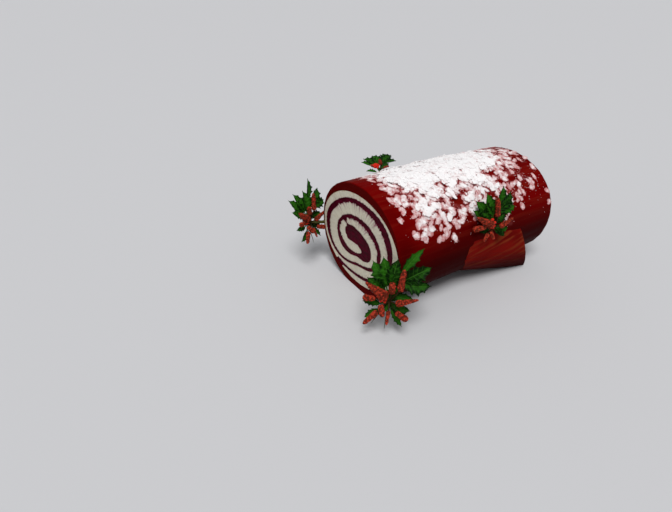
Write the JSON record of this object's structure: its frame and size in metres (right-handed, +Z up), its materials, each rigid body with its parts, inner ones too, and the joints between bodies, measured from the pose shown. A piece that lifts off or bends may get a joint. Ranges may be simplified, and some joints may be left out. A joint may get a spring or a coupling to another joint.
{
  "type": "yule log cake",
  "caption": "Rolled sponge log with jam spiral, red icing, sugar flakes, a branch stub and holly sprigs, cut flat at one end to show the roll.",
  "frame": {"origin": "middle of the flat base, halfway along the log", "axes": "+X along the log from the cut face to the closed end, -Y towards the side with the branch stub, +Z up"},
  "size_m": [0.1835, 0.1399, 0.0853],
  "materials": {
    "icing": "dark red icing with a soft sheen, streaked along the log, with white sugar flakes on top",
    "sponge": "ivory sponge crumb, dry and open",
    "jam": "dark fruit jam, moist",
    "holly": "dark green holly leaf with a waxy sheen",
    "berries": "red berries in beaded spikes"
  },
  "bodies": {
    "root": {"icing_coat": "icing", "sponge_roll": "sponge", "jam_filling": "jam", "branch_stub": "icing", "holly_side": "holly", "holly_shoulder": "holly", "holly_foot": "holly", "holly_rim": "holly", "berries_side": "berries", "berries_shoulder": "berries", "berries_foot": "berries", "berries_rim": "berries"}
  },
  "joints": []
}
